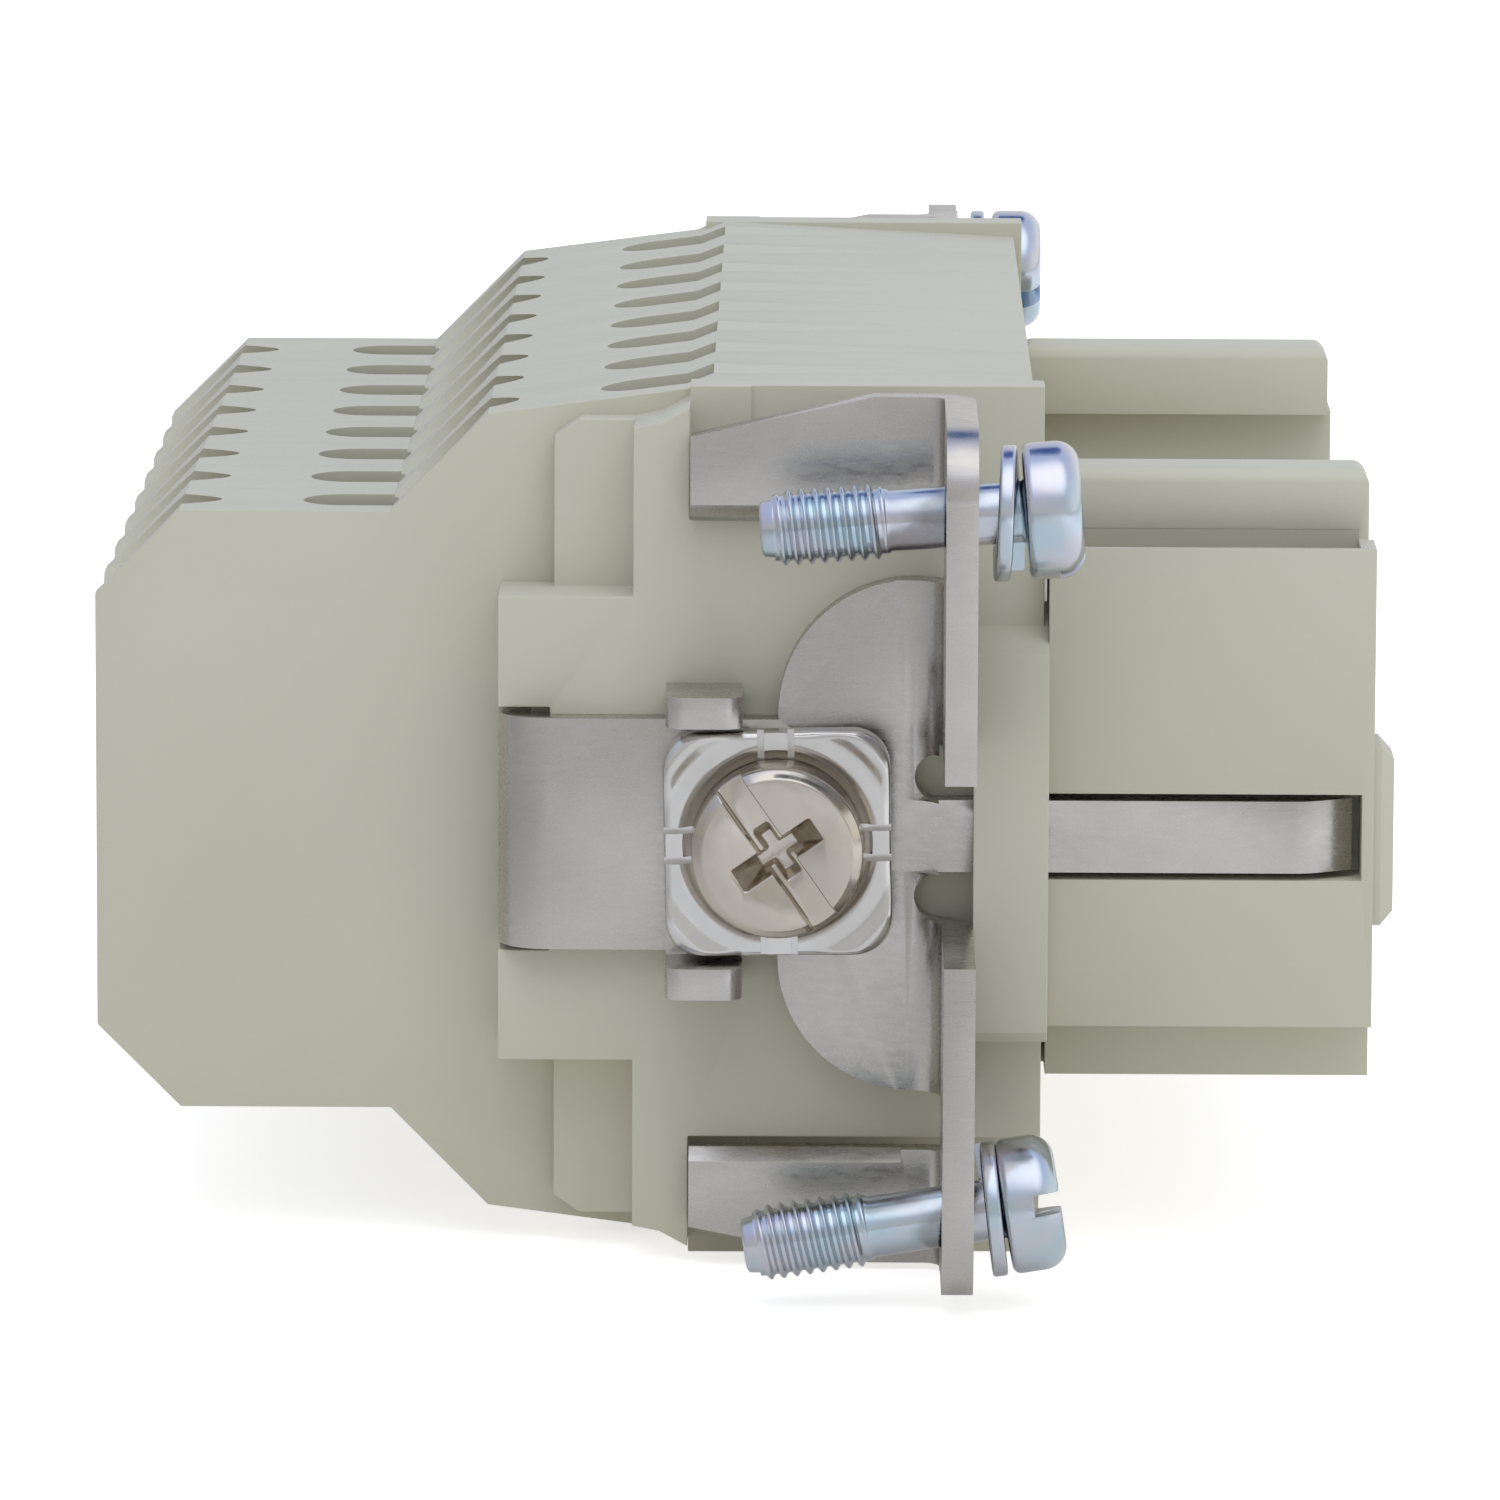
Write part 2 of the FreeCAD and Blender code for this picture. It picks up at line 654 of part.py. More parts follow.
def ground_bracket():
    mid_y = -plate_face + sheet / 2
    leg_x = strap_rear_x + sheet / 2
    strap_path = [(leg_x, -strap_leg), (leg_x, mid_y), (-flange_bend_outer, mid_y)]
    body = strip_along_z(strap_path, [strap_bend_r], sheet, (-strap_half, strap_half))
    tongue_path = [
        (-flange_bend_outer - tongue_half, mid_y),
        (tongue_front_x - tongue_tip[0], mid_y),
        (tongue_front_x, mid_y + tongue_tip[1]),
    ]
    parts = [
        strip_along_z(tongue_path, [tongue_bend_r], sheet, (-tongue_half, tongue_half)),
        bracket_half(flange_gap_top, flange_top_z, flange_top_z),
        mirrored(bracket_half(flange_gap_bottom, flange_bottom_z, flange_top_z - wing_short)),
    ]
    for piece in (bracket_lobe(), bracket_lug()):
        parts += [piece, mirrored(piece)]
    bore_r = earth_thread_r + earth_thread_gap
    wall_start = Vector(earth_x, -plate_back, 0)
    parts.append(Part.makeCylinder(bore_r + earth_collar_wall, earth_collar_depth, wall_start, Y_AXIS))
    bore_start = Vector(earth_x, -plate_face, 0)
    bore = Part.makeCylinder(bore_r, sheet + earth_collar_depth, bore_start, Y_AXIS)
    return body.fuse(parts).cut(bore).removeSplitter()


# Square clamp plate, dished round the screw head, with a groove to the middle of each side
def ground_clamp():
    x = (earth_x - clamp_half, earth_x + clamp_half)
    z = (-clamp_half, clamp_half)
    plate = span_box(x, (-clamp_face, -clamp_face + clamp_t), z)
    corners = [edge for edge in plate.Edges if abs(edge.Length - clamp_t) < SAME]
    plate = plate.makeFillet(clamp_corner_r, corners)
    face = Vector(earth_x, -clamp_face, 0)
    dish = Part.makeCylinder(clamp_dish_r, clamp_dish_depth, face, Y_AXIS)
    hole = Part.makeCylinder(earth_thread_r + clamp_hole_gap, clamp_t, face, Y_AXIS)
    groove = (-clamp_groove_w / 2, clamp_groove_w / 2)
    depth = (-clamp_face, -clamp_face + clamp_dish_depth)
    across = span_box(x, depth, groove)
    along = span_box((earth_x + groove[0], earth_x + groove[1]), depth, z)
    return plate.cut([dish, hole, across, along]).removeSplitter()


# Cross recess, tapering towards its floor
def cross_recess(face_y):
    def outline(y, shrink):
        long = cross_arm - shrink
        short = cross_half_w - shrink / 4
        quarter = [(long, -short), (long, short), (short, short)]
        points = []
        for c, s in [(1, 0), (0, 1), (-1, 0), (0, -1)]:
            points += [Vector(a * c - b * s, y, a * s + b * c) for a, b in quarter]
        return Part.makePolygon(points + [points[0]])
    return Part.makeLoft([outline(face_y, 0.0), outline(face_y + cross_depth, cross_shrink)], True)


def ground_screw():
    seat_y = -clamp_face + clamp_dish_depth
    face_y = seat_y - earth_head_h
    head = Part.makeCylinder(earth_head_r, earth_head_h, Vector(0, face_y, 0), Y_AXIS)
    rim = [edge for edge in head.Edges if edge.Closed and abs(edge.BoundBox.YMin - face_y) < SAME]
    head = head.makeChamfer(earth_head_bevel, rim)
    shank_length = -earth_shank_end - seat_y
    shank = Part.makeCylinder(earth_thread_r, shank_length, Vector(0, seat_y, 0), Y_AXIS)
    slot_x = (-earth_head_r, earth_head_r)
    slot = span_box(slot_x, (face_y, face_y + earth_slot_depth), (-earth_slot_w / 2, earth_slot_w / 2))
    screw = head.fuse(shank).cut([slot, cross_recess(face_y)])
    screw.rotate(ORIGIN, Y_AXIS, 90 - earth_slot_turn)
    screw.translate(Vector(earth_x, 0, 0))
    return screw.removeSplitter()


# Puts a piece made along +X from the flange's middle onto its tilted screw axis
def hang(piece, rest):
    piece.rotate(ORIGIN, Y_AXIS, -rest["tilt"])
    piece.translate(Vector(-sheet / 2, rest["end"] * fix_y, rest["side"] * (fix_z - rest["drift"])))
    return piece


# Screw with a reduced shank, so that its thread keeps it in the flange
def fixing_screw(rest):
    under = sheet / 2 + rest["head"]
    top = under + screw_head_h
    tip = under - screw_length
    thread_start = tip + screw_thread_length
    outline = [
        (tip, 0),
        (tip, screw_thread_r - screw_tip_chamfer),
        (tip + screw_tip_chamfer, screw_thread_r),
        (thread_start, screw_thread_r),
        (thread_start, screw_shank_r),
        (under, screw_shank_r),
        (under, screw_head_r),
        (top - screw_head_bevel[0], screw_head_r),
        (top, screw_head_r - screw_head_bevel[1]),
        (top, 0),
    ]
    corners = [Vector(px, 0, pr) for px, pr in outline]
    screw = Part.Face(Part.makePolygon(corners + [corners[0]])).revolve(ORIGIN, X_AXIS, 360)
    slot_y = (-screw_head_r, screw_head_r)
    slot = span_box((top - screw_slot_depth, top), slot_y, (-screw_slot_w / 2, screw_slot_w / 2))
    slot.rotate(ORIGIN, X_AXIS, rest["slot"])
    return hang(screw.cut(slot), rest)


def spring_washer(rest):
    start = sheet / 2 + rest["washer"]
    bore_r = screw_shank_r + washer_bore_gap
    ring = Part.makeCylinder(washer_r, washer_t, Vector(start, 0, 0), X_AXIS)
    ring = ring.cut(Part.makeCylinder(bore_r, washer_t, Vector(start, 0, 0), X_AXIS))
    split_x = (start - washer_t, start + 2 * washer_t)
    split = span_box(split_x, (0, -2 * washer_r), (-washer_split / 2, washer_split / 2))
    split.rotate(Vector(start + washer_t / 2, 0, 0), Y_AXIS, washer_split_lean)
    return hang(ring.cut(split), rest)


def build():
    nodes = {"mating_block": mating_block()}
    for index in range(poles_per_row):
        number = index + 1
        nodes[f"contact_module_{number}"] = contact_module(index)
        nodes[f"contact_{number}"] = contact(index, 1)
        nodes[f"contact_{number + poles_per_row}"] = contact(index, -1)
        nodes[f"clamp_springs_{number}"] = clamp_springs(index)
    nodes["end_plate_near"] = end_plate()
    nodes["end_plate_far"] = end_plate_far()
    for name, make in (("bracket", ground_bracket), ("clamp", ground_clamp), ("screw", ground_screw)):
        piece = make()
        nodes[f"ground_{name}_near"] = piece
        nodes[f"ground_{name}_far"] = at_far_end(piece)
    for number, rest in enumerate(screw_rest, start=1):
        nodes[f"fixing_screw_{number}"] = fixing_screw(rest)
        nodes[f"spring_washer_{number}"] = spring_washer(rest)
    return nodes


os.makedirs("parts", exist_ok=True)
for node, shape in build().items():
    shape.exportStep(f"parts/{node}.step")
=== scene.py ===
import math

import bmesh
import bpy
from mathutils import Matrix, Vector


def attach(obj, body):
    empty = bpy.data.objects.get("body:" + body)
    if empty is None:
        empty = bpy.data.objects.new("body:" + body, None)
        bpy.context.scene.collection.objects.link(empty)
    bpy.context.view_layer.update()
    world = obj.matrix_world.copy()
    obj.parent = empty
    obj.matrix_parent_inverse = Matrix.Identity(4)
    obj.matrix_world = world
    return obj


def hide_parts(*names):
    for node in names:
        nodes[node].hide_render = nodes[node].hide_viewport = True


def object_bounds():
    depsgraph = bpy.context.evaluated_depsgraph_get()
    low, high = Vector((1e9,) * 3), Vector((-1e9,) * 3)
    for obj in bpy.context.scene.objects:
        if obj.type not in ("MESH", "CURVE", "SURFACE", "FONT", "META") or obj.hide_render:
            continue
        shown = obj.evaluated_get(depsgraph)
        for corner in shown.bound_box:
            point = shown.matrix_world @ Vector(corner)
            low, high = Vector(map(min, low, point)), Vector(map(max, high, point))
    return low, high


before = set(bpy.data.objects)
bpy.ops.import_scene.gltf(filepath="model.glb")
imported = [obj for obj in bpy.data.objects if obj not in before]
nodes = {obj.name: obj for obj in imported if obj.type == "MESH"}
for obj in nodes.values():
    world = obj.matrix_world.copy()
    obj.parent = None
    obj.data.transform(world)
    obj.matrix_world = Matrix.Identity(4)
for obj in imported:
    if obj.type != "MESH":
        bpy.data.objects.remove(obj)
cadBox = [list(corner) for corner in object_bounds()]
mm = 0.001


def linear(r, g, b):  # screen colour to scene colour
    def channel(value):
        value /= 255
        return value / 12.92 if value <= 0.04045 else ((value + 0.055) / 1.055) ** 2.4
    return (channel(r), channel(g), channel(b), 1.0)


def addObject(name, mesh):
    piece = bpy.data.objects.new(name, mesh)
    bpy.context.scene.collection.objects.link(piece)
    return piece


def freeze(piece):  # turns live modifiers into a plain mesh
    bpy.context.view_layer.update()
    graph = bpy.context.evaluated_depsgraph_get()
    mesh = bpy.data.meshes.new_from_object(piece.evaluated_get(graph))
    piece.modifiers.clear()
    piece.data = mesh
    return piece


def shadeByAngle(mesh, degrees):
    mesh.shade_smooth()
    mesh.set_sharp_from_angle(angle=math.radians(degrees))


def mergedCopy(node, name):  # the CAD mesh is loose triangles, so a copy is welded first
    source = nodes[node].data
    work = bmesh.new()
    work.from_mesh(source)
    bmesh.ops.remove_doubles(work, verts=work.verts, dist=1e-7)
    bmesh.ops.dissolve_limit(work, angle_limit=math.radians(0.6), verts=work.verts, edges=work.edges)
    mesh = bpy.data.meshes.new(name)
    work.to_mesh(mesh)
    work.free()
    return addObject(name, mesh)


def closedPiece(name, points, faces):  # a closed shell with its faces turned outwards
    mesh = bpy.data.meshes.new(name)
    mesh.from_pydata(points, [], faces)
    work = bmesh.new()
    work.from_mesh(mesh)
    bmesh.ops.recalc_face_normals(work, faces=work.faces)
    work.to_mesh(mesh)
    work.free()
    return addObject(name, mesh)


def roundEdges(piece, width, segments, degrees):
    bevel = piece.modifiers.new("rounding", "BEVEL")
    bevel.width = width
    bevel.segments = segments
    bevel.limit_method = "ANGLE"
    bevel.angle_limit = math.radians(degrees)
    bevel.use_clamp_overlap = True
    bevel.miter_outer = "MITER_ARC"
    freeze(piece)
    shadeByAngle(piece.data, 40)


def finishPiece(piece, material, body, slot, *replaced):
    piece.data.materials.clear()
    piece.data.materials.append(material)
    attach(piece, body)
    if replaced:
        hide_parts(*replaced)


def newMaterial(name):
    material = bpy.data.materials.new(name)
    material.use_nodes = True
    tree = material.node_tree
    tree.nodes.clear()
    output = tree.nodes.new("ShaderNodeOutputMaterial")
    shader = tree.nodes.new("ShaderNodeBsdfPrincipled")
    tree.links.new(shader.outputs["BSDF"], output.inputs["Surface"])
    return material, tree, shader


def groupInput(tree, name, kind, value):
    socket = tree.interface.new_socket(name=name, in_out="INPUT", socket_type=kind)
    socket.default_value = value
    return socket.identifier


def groupOutputs(tree):
    tree.interface.new_socket(name="Colour", in_out="OUTPUT", socket_type="NodeSocketColor")
    tree.interface.new_socket(name="Roughness", in_out="OUTPUT", socket_type="NodeSocketFloat")
    tree.interface.new_socket(name="Height", in_out="OUTPUT", socket_type="NodeSocketFloat")


def addNoise(tree, detail, roughness):
    noise = tree.nodes.new("ShaderNodeTexNoise")
    noise.inputs["Detail"].default_value = detail
    noise.inputs["Roughness"].default_value = roughness
    return noise


def addRange(tree, low, high, toLow=0.0, toHigh=1.0):
    node = tree.nodes.new("ShaderNodeMapRange")
    node.inputs["From Min"].default_value = low
    node.inputs["From Max"].default_value = high
    node.inputs["To Min"].default_value = toLow
    node.inputs["To Max"].default_value = toHigh
    return node


def addMath(tree, operation):
    node = tree.nodes.new("ShaderNodeMath")
    node.operation = operation
    return node


def addColourMix(tree):
    node = tree.nodes.new("ShaderNodeMix")
    node.data_type = "RGBA"
    return node


def buildMouldGrain():  # moulded skin: fine grain, slow colour drift and rare dirt specks
    tree = bpy.data.node_groups.new("mouldGrain", "ShaderNodeTree")
    groupInput(tree, "Colour", "NodeSocketColor", (0.5, 0.5, 0.4, 1))
    groupInput(tree, "Shade colour", "NodeSocketColor", (0.4, 0.4, 0.3, 1))
    groupInput(tree, "Speck colour", "NodeSocketColor", (0.1, 0.1, 0.05, 1))
    groupInput(tree, "Grain size", "NodeSocketFloat", 9000.0)
    groupInput(tree, "Drift size", "NodeSocketFloat", 90.0)
    groupInput(tree, "Speck size", "NodeSocketFloat", 420.0)
    groupInput(tree, "Speck amount", "NodeSocketFloat", 0.5)
    groupOutputs(tree)
    come = tree.nodes.new("NodeGroupInput")
    leave = tree.nodes.new("NodeGroupOutput")
    place = tree.nodes.new("ShaderNodeTexCoord")
    grain = addNoise(tree, 3.0, 0.6)
    drift = addNoise(tree, 2.0, 0.5)
    speck = tree.nodes.new("ShaderNodeTexVoronoi")
    near = addRange(tree, 0.03, 0.055, 1.0, 0.0)
    rare = addRange(tree, 0.93, 0.95)  # only a few of the cells hold a speck
    strength = addMath(tree, "MULTIPLY")
    amount = addMath(tree, "MULTIPLY")
    mix = addColourMix(tree)
    dirt = addColourMix(tree)
    rough = addRange(tree, 0.3, 0.7, 0.46, 0.6)
    link = tree.links.new
    for texture in (grain, drift, speck):
        link(place.outputs["Object"], texture.inputs["Vector"])
    link(come.outputs["Grain size"], grain.inputs["Scale"])
    link(come.outputs["Drift size"], drift.inputs["Scale"])
    link(come.outputs["Speck size"], speck.inputs["Scale"])
    link(drift.outputs["Fac"], mix.inputs[0])
    link(come.outputs["Colour"], mix.inputs[6])
    link(come.outputs["Shade colour"], mix.inputs[7])
    link(speck.outputs["Distance"], near.inputs["Value"])
    link(speck.outputs["Color"], rare.inputs["Value"])
    link(near.outputs["Result"], strength.inputs[0])
    link(rare.outputs["Result"], strength.inputs[1])
    link(strength.outputs[0], amount.inputs[0])
    link(come.outputs["Speck amount"], amount.inputs[1])
    link(amount.outputs[0], dirt.inputs[0])
    link(mix.outputs[2], dirt.inputs[6])
    link(come.outputs["Speck colour"], dirt.inputs[7])
    link(grain.outputs["Fac"], rough.inputs["Value"])
    link(dirt.outputs[2], leave.inputs["Colour"])
    link(rough.outputs["Result"], leave.inputs["Roughness"])
    link(grain.outputs["Fac"], leave.inputs["Height"])
    return tree


def buildMetalWear():  # plated metal: rolled grain and slow stains
    tree = bpy.data.node_groups.new("metalWear", "ShaderNodeTree")
    groupInput(tree, "Colour", "NodeSocketColor", (0.6, 0.6, 0.6, 1))
    groupInput(tree, "Stain colour", "NodeSocketColor", (0.4, 0.4, 0.4, 1))
    groupInput(tree, "Grain size", "NodeSocketFloat", 5000.0)
    groupInput(tree, "Stain size", "NodeSocketFloat", 260.0)
    groupInput(tree, "Stretch", "NodeSocketVector", (1.0, 1.0, 1.0))
    groupInput(tree, "Roughness low", "NodeSocketFloat", 0.3)
    groupInput(tree, "Roughness high", "NodeSocketFloat", 0.45)
    groupOutputs(tree)
    come = tree.nodes.new("NodeGroupInput")
    leave = tree.nodes.new("NodeGroupOutput")
    place = tree.nodes.new("ShaderNodeTexCoord")
    stretched = tree.nodes.new("ShaderNodeVectorMath")
    stretched.operation = "MULTIPLY"
    grain = addNoise(tree, 4.0, 0.55)
    blotch = addNoise(tree, 3.0, 0.5)
    patch = addRange(tree, 0.35, 0.65)
    rough = addRange(tree, 0.3, 0.7)
    mix = addColourMix(tree)
    link = tree.links.new
    link(place.outputs["Object"], stretched.inputs[0])
    link(come.outputs["Stretch"], stretched.inputs[1])
    link(stretched.outputs["Vector"], grain.inputs["Vector"])
    link(place.outputs["Object"], blotch.inputs["Vector"])
    link(come.outputs["Grain size"], grain.inputs["Scale"])
    link(come.outputs["Stain size"], blotch.inputs["Scale"])
    link(blotch.outputs["Fac"], patch.inputs["Value"])
    link(patch.outputs["Result"], mix.inputs[0])
    link(come.outputs["Colour"], mix.inputs[6])
    link(come.outputs["Stain colour"], mix.inputs[7])
    link(grain.outputs["Fac"], rough.inputs["Value"])
    link(come.outputs["Roughness low"], rough.inputs["To Min"])
    link(come.outputs["Roughness high"], rough.inputs["To Max"])
    link(mix.outputs[2], leave.inputs["Colour"])
    link(rough.outputs["Result"], leave.inputs["Roughness"])
    link(grain.outputs["Fac"], leave.inputs["Height"])
    return tree


mouldGrain = buildMouldGrain()
metalWear = buildMetalWear()


def groupedMaterial(name, group, values, fixed, bump):
    material, tree, shader = newMaterial(name)
    finish = tree.nodes.new("ShaderNodeGroup")
    finish.node_tree = group
    for key, value in values.items():
        finish.inputs[key].default_value = value
    for key, value in fixed.items():
        shader.inputs[key].default_value = value
    raised = tree.nodes.new("ShaderNodeBump")
    raised.inputs["Strength"].default_value = bump[0]
    raised.inputs["Distance"].default_value = bump[1]
    tree.links.new(finish.outputs["Colour"], shader.inputs["Base Color"])
    tree.links.new(finish.outputs["Roughness"], shader.inputs["Roughness"])
    tree.links.new(finish.outputs["Height"], raised.inputs["Height"])
    tree.links.new(raised.outputs["Normal"], shader.inputs["Normal"])
    return material


plastic = groupedMaterial("pebbleGreyMoulding", mouldGrain, {
    "Colour": linear(193, 190, 172), "Shade colour": linear(187, 183, 164), "Speck colour": linear(108, 92, 66),
    "Grain size": 9000.0, "Drift size": 90.0, "Speck size": 300.0, "Speck amount": 0.5,
}, {"Specular IOR Level": 0.4}, (0.25, 0.00002))
nickel = groupedMaterial("satinNickel", metalWear, {
    "Colour": linear(200, 196, 190), "Stain colour": linear(188, 183, 176), "Grain size": 2600.0,
    "Stain size": 180.0, "Stretch": (0.5, 1.0, 1.6), "Roughness low": 0.22, "Roughness high": 0.34,
}, {"Metallic": 1.0}, (0.3, 0.000012))
brightNickel = groupedMaterial("brightNickel", metalWear, {
    "Colour": linear(203, 195, 183), "Stain colour": linear(192, 183, 170), "Grain size": 1800.0,
    "Stain size": 260.0, "Stretch": (1.0, 1.0, 1.0), "Roughness low": 0.12, "Roughness high": 0.24,
}, {"Metallic": 1.0}, (0.12, 0.00001))
clampNickel = groupedMaterial("clampNickel", metalWear, {
    "Colour": linear(216, 214, 210), "Stain colour": linear(206, 203, 198), "Grain size": 1800.0,
    "Stain size": 260.0, "Stretch": (1.0, 1.0, 1.0), "Roughness low": 0.15, "Roughness high": 0.25,
}, {"Metallic": 1.0}, (0.08, 0.00001))
zinc = groupedMaterial("blueZinc", metalWear, {
    "Colour": linear(186, 203, 211), "Stain colour": linear(205, 203, 210), "Grain size": 2600.0,
    "Stain size": 420.0, "Stretch": (1.0, 1.0, 1.0), "Roughness low": 0.14, "Roughness high": 0.25,
}, {"Metallic": 1.0}, (0.14, 0.00001))
silver = groupedMaterial("silveredCopper", metalWear, {
    "Colour": linear(222, 220, 214), "Stain colour": linear(205, 200, 190), "Grain size": 3000.0,
    "Stain size": 260.0, "Stretch": (1.0, 1.0, 1.0), "Roughness low": 0.18, "Roughness high": 0.3,
}, {"Metallic": 1.0}, (0.1, 0.00001))
springSteel = groupedMaterial("springSteel", metalWear, {
    "Colour": linear(178, 176, 172), "Stain colour": linear(160, 157, 152), "Grain size": 3600.0,
    "Stain size": 260.0, "Stretch": (1.0, 1.0, 0.4), "Roughness low": 0.25, "Roughness high": 0.38,
}, {"Metallic": 1.0}, (0.1, 0.00001))
print("materials ready")


class Maker:  # one geometry node tree under construction
    def __init__(self, name, inputs):
        self.tree = bpy.data.node_groups.new(name, "GeometryNodeTree")
        self.tree.interface.new_socket(name="Geometry", in_out="OUTPUT", socket_type="NodeSocketGeometry")
        self.names = {key: groupInput(self.tree, key, *kindAndValue) for key, kindAndValue in inputs.items()}
        self.come = self.tree.nodes.new("NodeGroupInput")
        self.leave = self.tree.nodes.new("NodeGroupOutput")

    def add(self, kind, settings=None, **values):
        node = self.tree.nodes.new(kind)
        for key, value in (settings or {}).items():
            setattr(node, key, value)
        for key, value in values.items():
            self.feed(value, node.inputs[key.replace("_", " ")])
        return node

    def feed(self, source, socket):
        if isinstance(source, bpy.types.NodeSocket):
            self.tree.links.new(source, socket)
        else:
            socket.default_value = source

    def math(self, operation, *values):
        node = self.tree.nodes.new("ShaderNodeMath")
        node.operation = operation
        for socket, value in zip(node.inputs, values):
            self.feed(value, socket)
        return node.outputs[0]

    def finish(self, geometry, material):
        real = self.add("GeometryNodeRealizeInstances", Geometry=geometry)
        painted = self.add("GeometryNodeSetMaterial", Geometry=real.outputs[0], Material=material)
        self.tree.links.new(painted.outputs[0], self.leave.inputs[0])
        return self


def grow(maker, name, **values):  # runs a node tree once and keeps its plain mesh
    piece = addObject(name, bpy.data.meshes.new(name))
    modifier = piece.modifiers.new("maker", "NODES")
    modifier.node_group = maker.tree
    for key, value in values.items():
        modifier[maker.names[key]] = value
    return freeze(piece)


def buildThread():  # rounded screw ridges with fading ends, along +X
    maker = Maker("screwThread", {
        "start": ("NodeSocketFloat", 0.0), "length": ("NodeSocketFloat", 0.005),
        "pitch": ("NodeSocketFloat", 0.0005), "core": ("NodeSocketFloat", 0.001),
        "ridge": ("NodeSocketFloat", 0.0003), "fade": ("NodeSocketFloat", 0.0004),
    })
    come = maker.come.outputs
    grid = maker.add("GeometryNodeMeshGrid", Size_X=come["length"], Size_Y=1.0, Vertices_X=170, Vertices_Y=41)
    spot = maker.add("ShaderNodeSeparateXYZ", Vector=maker.add("GeometryNodeInputPosition").outputs[0])
    along = maker.math("ADD", spot.outputs[0], maker.math("MULTIPLY", come["length"], 0.5))
    wave = maker.math("SUBTRACT", maker.math("DIVIDE", along, come["pitch"]), spot.outputs[1])
    swing = maker.math("COSINE", maker.math("MULTIPLY", wave, 2 * math.pi))
    crest = maker.math("POWER", maker.math("MULTIPLY_ADD", swing, 0.5, 0.5), 1.15)
    rest = maker.math("MINIMUM", along, maker.math("SUBTRACT", come["length"], along))
    envelope = maker.math("MINIMUM", maker.math("DIVIDE", rest, come["fade"]), 1.0)
    lift = maker.math("MULTIPLY", maker.math("MULTIPLY", crest, envelope), come["ridge"])
    radius = maker.math("ADD", come["core"], lift)
    angle = maker.math("MULTIPLY", spot.outputs[1], 2 * math.pi)
    point = maker.add("ShaderNodeCombineXYZ", X=maker.math("ADD", come["start"], along),
                      Y=maker.math("MULTIPLY", radius, maker.math("COSINE", angle)),
                      Z=maker.math("MULTIPLY", radius, maker.math("SINE", angle)))
    moved = maker.add("GeometryNodeSetPosition", Geometry=grid.outputs["Mesh"], Position=point.outputs[0])
    welded = maker.add("GeometryNodeMergeByDistance", Geometry=moved.outputs[0], Distance=1e-6)
    smooth = maker.add("GeometryNodeSetShadeSmooth", Geometry=welded.outputs[0])
    return maker.finish(smooth.outputs[0], zinc)


def buildWasher():  # one turn of rounded flat wire, its two ends sprung apart along +X
    maker = Maker("splitWasher", {
        "radius": ("NodeSocketFloat", 0.002), "rise": ("NodeSocketFloat", 0.0003),
        "turns": ("NodeSocketFloat", 0.96), "wide": ("NodeSocketFloat", 0.0014),
        "thick": ("NodeSocketFloat", 0.00065), "rounding": ("NodeSocketFloat", 0.00015),
    })
    come = maker.come.outputs
    spiral = maker.add("GeometryNodeCurveSpiral", Resolution=72, Rotations=come["turns"],
                       Start_Radius=come["radius"], End_Radius=come["radius"], Height=come["rise"])
    upright = maker.add("GeometryNodeSetCurveNormal", {"mode": "Z_UP"}, Curve=spiral.outputs[0])
    bar = maker.add("GeometryNodeCurvePrimitiveQuadrilateral", Width=come["wide"], Height=come["thick"])
    soft = maker.add("GeometryNodeFilletCurve", {"mode": "POLY"}, Curve=bar.outputs[0], Count=3,
                     Radius=come["rounding"])
    wire = maker.add("GeometryNodeCurveToMesh", Curve=upright.outputs[0], Profile_Curve=soft.outputs[0],
                     Fill_Caps=True)
    laid = maker.add("GeometryNodeTransform", Geometry=wire.outputs[0], Rotation=(0.0, math.pi / 2, 0.0))
    return maker.finish(laid.outputs[0], zinc)


threadMaker = buildThread()
washerMaker = buildWasher()
print("node trees ready")

mouldings = {
    "edgeRadius": {"mating_block": 0.3 * mm, "end_plate": 0.2 * mm, "contact_module": 0.2 * mm},
    "segments": 3,
    "sharpFrom": 32,
    "ribTop": 14.0 * mm,
    "ribRadius": 0.6 * mm,
    "ribSegments": 5,
    "gutterLow": (3.3, -31.15, 8.3),  # behind the nose's top edge at the near end, in mm
    "gutterHigh": (14.8, -28.88, 11.6),
}


def roundRibs(piece):  # softer tops on the two polarising ribs
    work = bmesh.new()
    work.from_mesh(piece.data)
    picked = []
    for edge in work.edges:
        sharp = len(edge.link_faces) == 2 and edge.calc_face_angle(0.0) > 0.5
        if sharp and all(abs(vert.co.z - mouldings["ribTop"]) < 0.01 * mm for vert in edge.verts):
            picked.append(edge)
    bmesh.ops.bevel(work, geom=picked, offset=mouldings["ribRadius"], offset_type="OFFSET",
                    segments=mouldings["ribSegments"], profile=0.5, affect="EDGES", clamp_overlap=True)
    work.to_mesh(piece.data)
    work.free()


def boxBetween(low, high):  # corner points in mm
    low, high = Vector(low) * mm, Vector(high) * mm
    return Matrix.Translation((low + high) / 2) @ Matrix.Diagonal((*(high - low), 1))


def cutBoxes(piece, boxes):  # boxes as placed and sized matrices, taken out of a piece
    mesh = bpy.data.meshes.new("boxTool")
    work = bmesh.new()
    for box in boxes:
        bmesh.ops.create_cube(work, size=1.0, matrix=box)
    work.to_mesh(mesh)
    work.free()
    tool = addObject("boxTool", mesh)
    cut = piece.modifiers.new("cut", "BOOLEAN")
    cut.operation = "DIFFERENCE"
    cut.solver = "EXACT"
    cut.use_self = len(boxes) > 1
    cut.object = tool
    freeze(piece)
    bpy.data.objects.remove(tool)


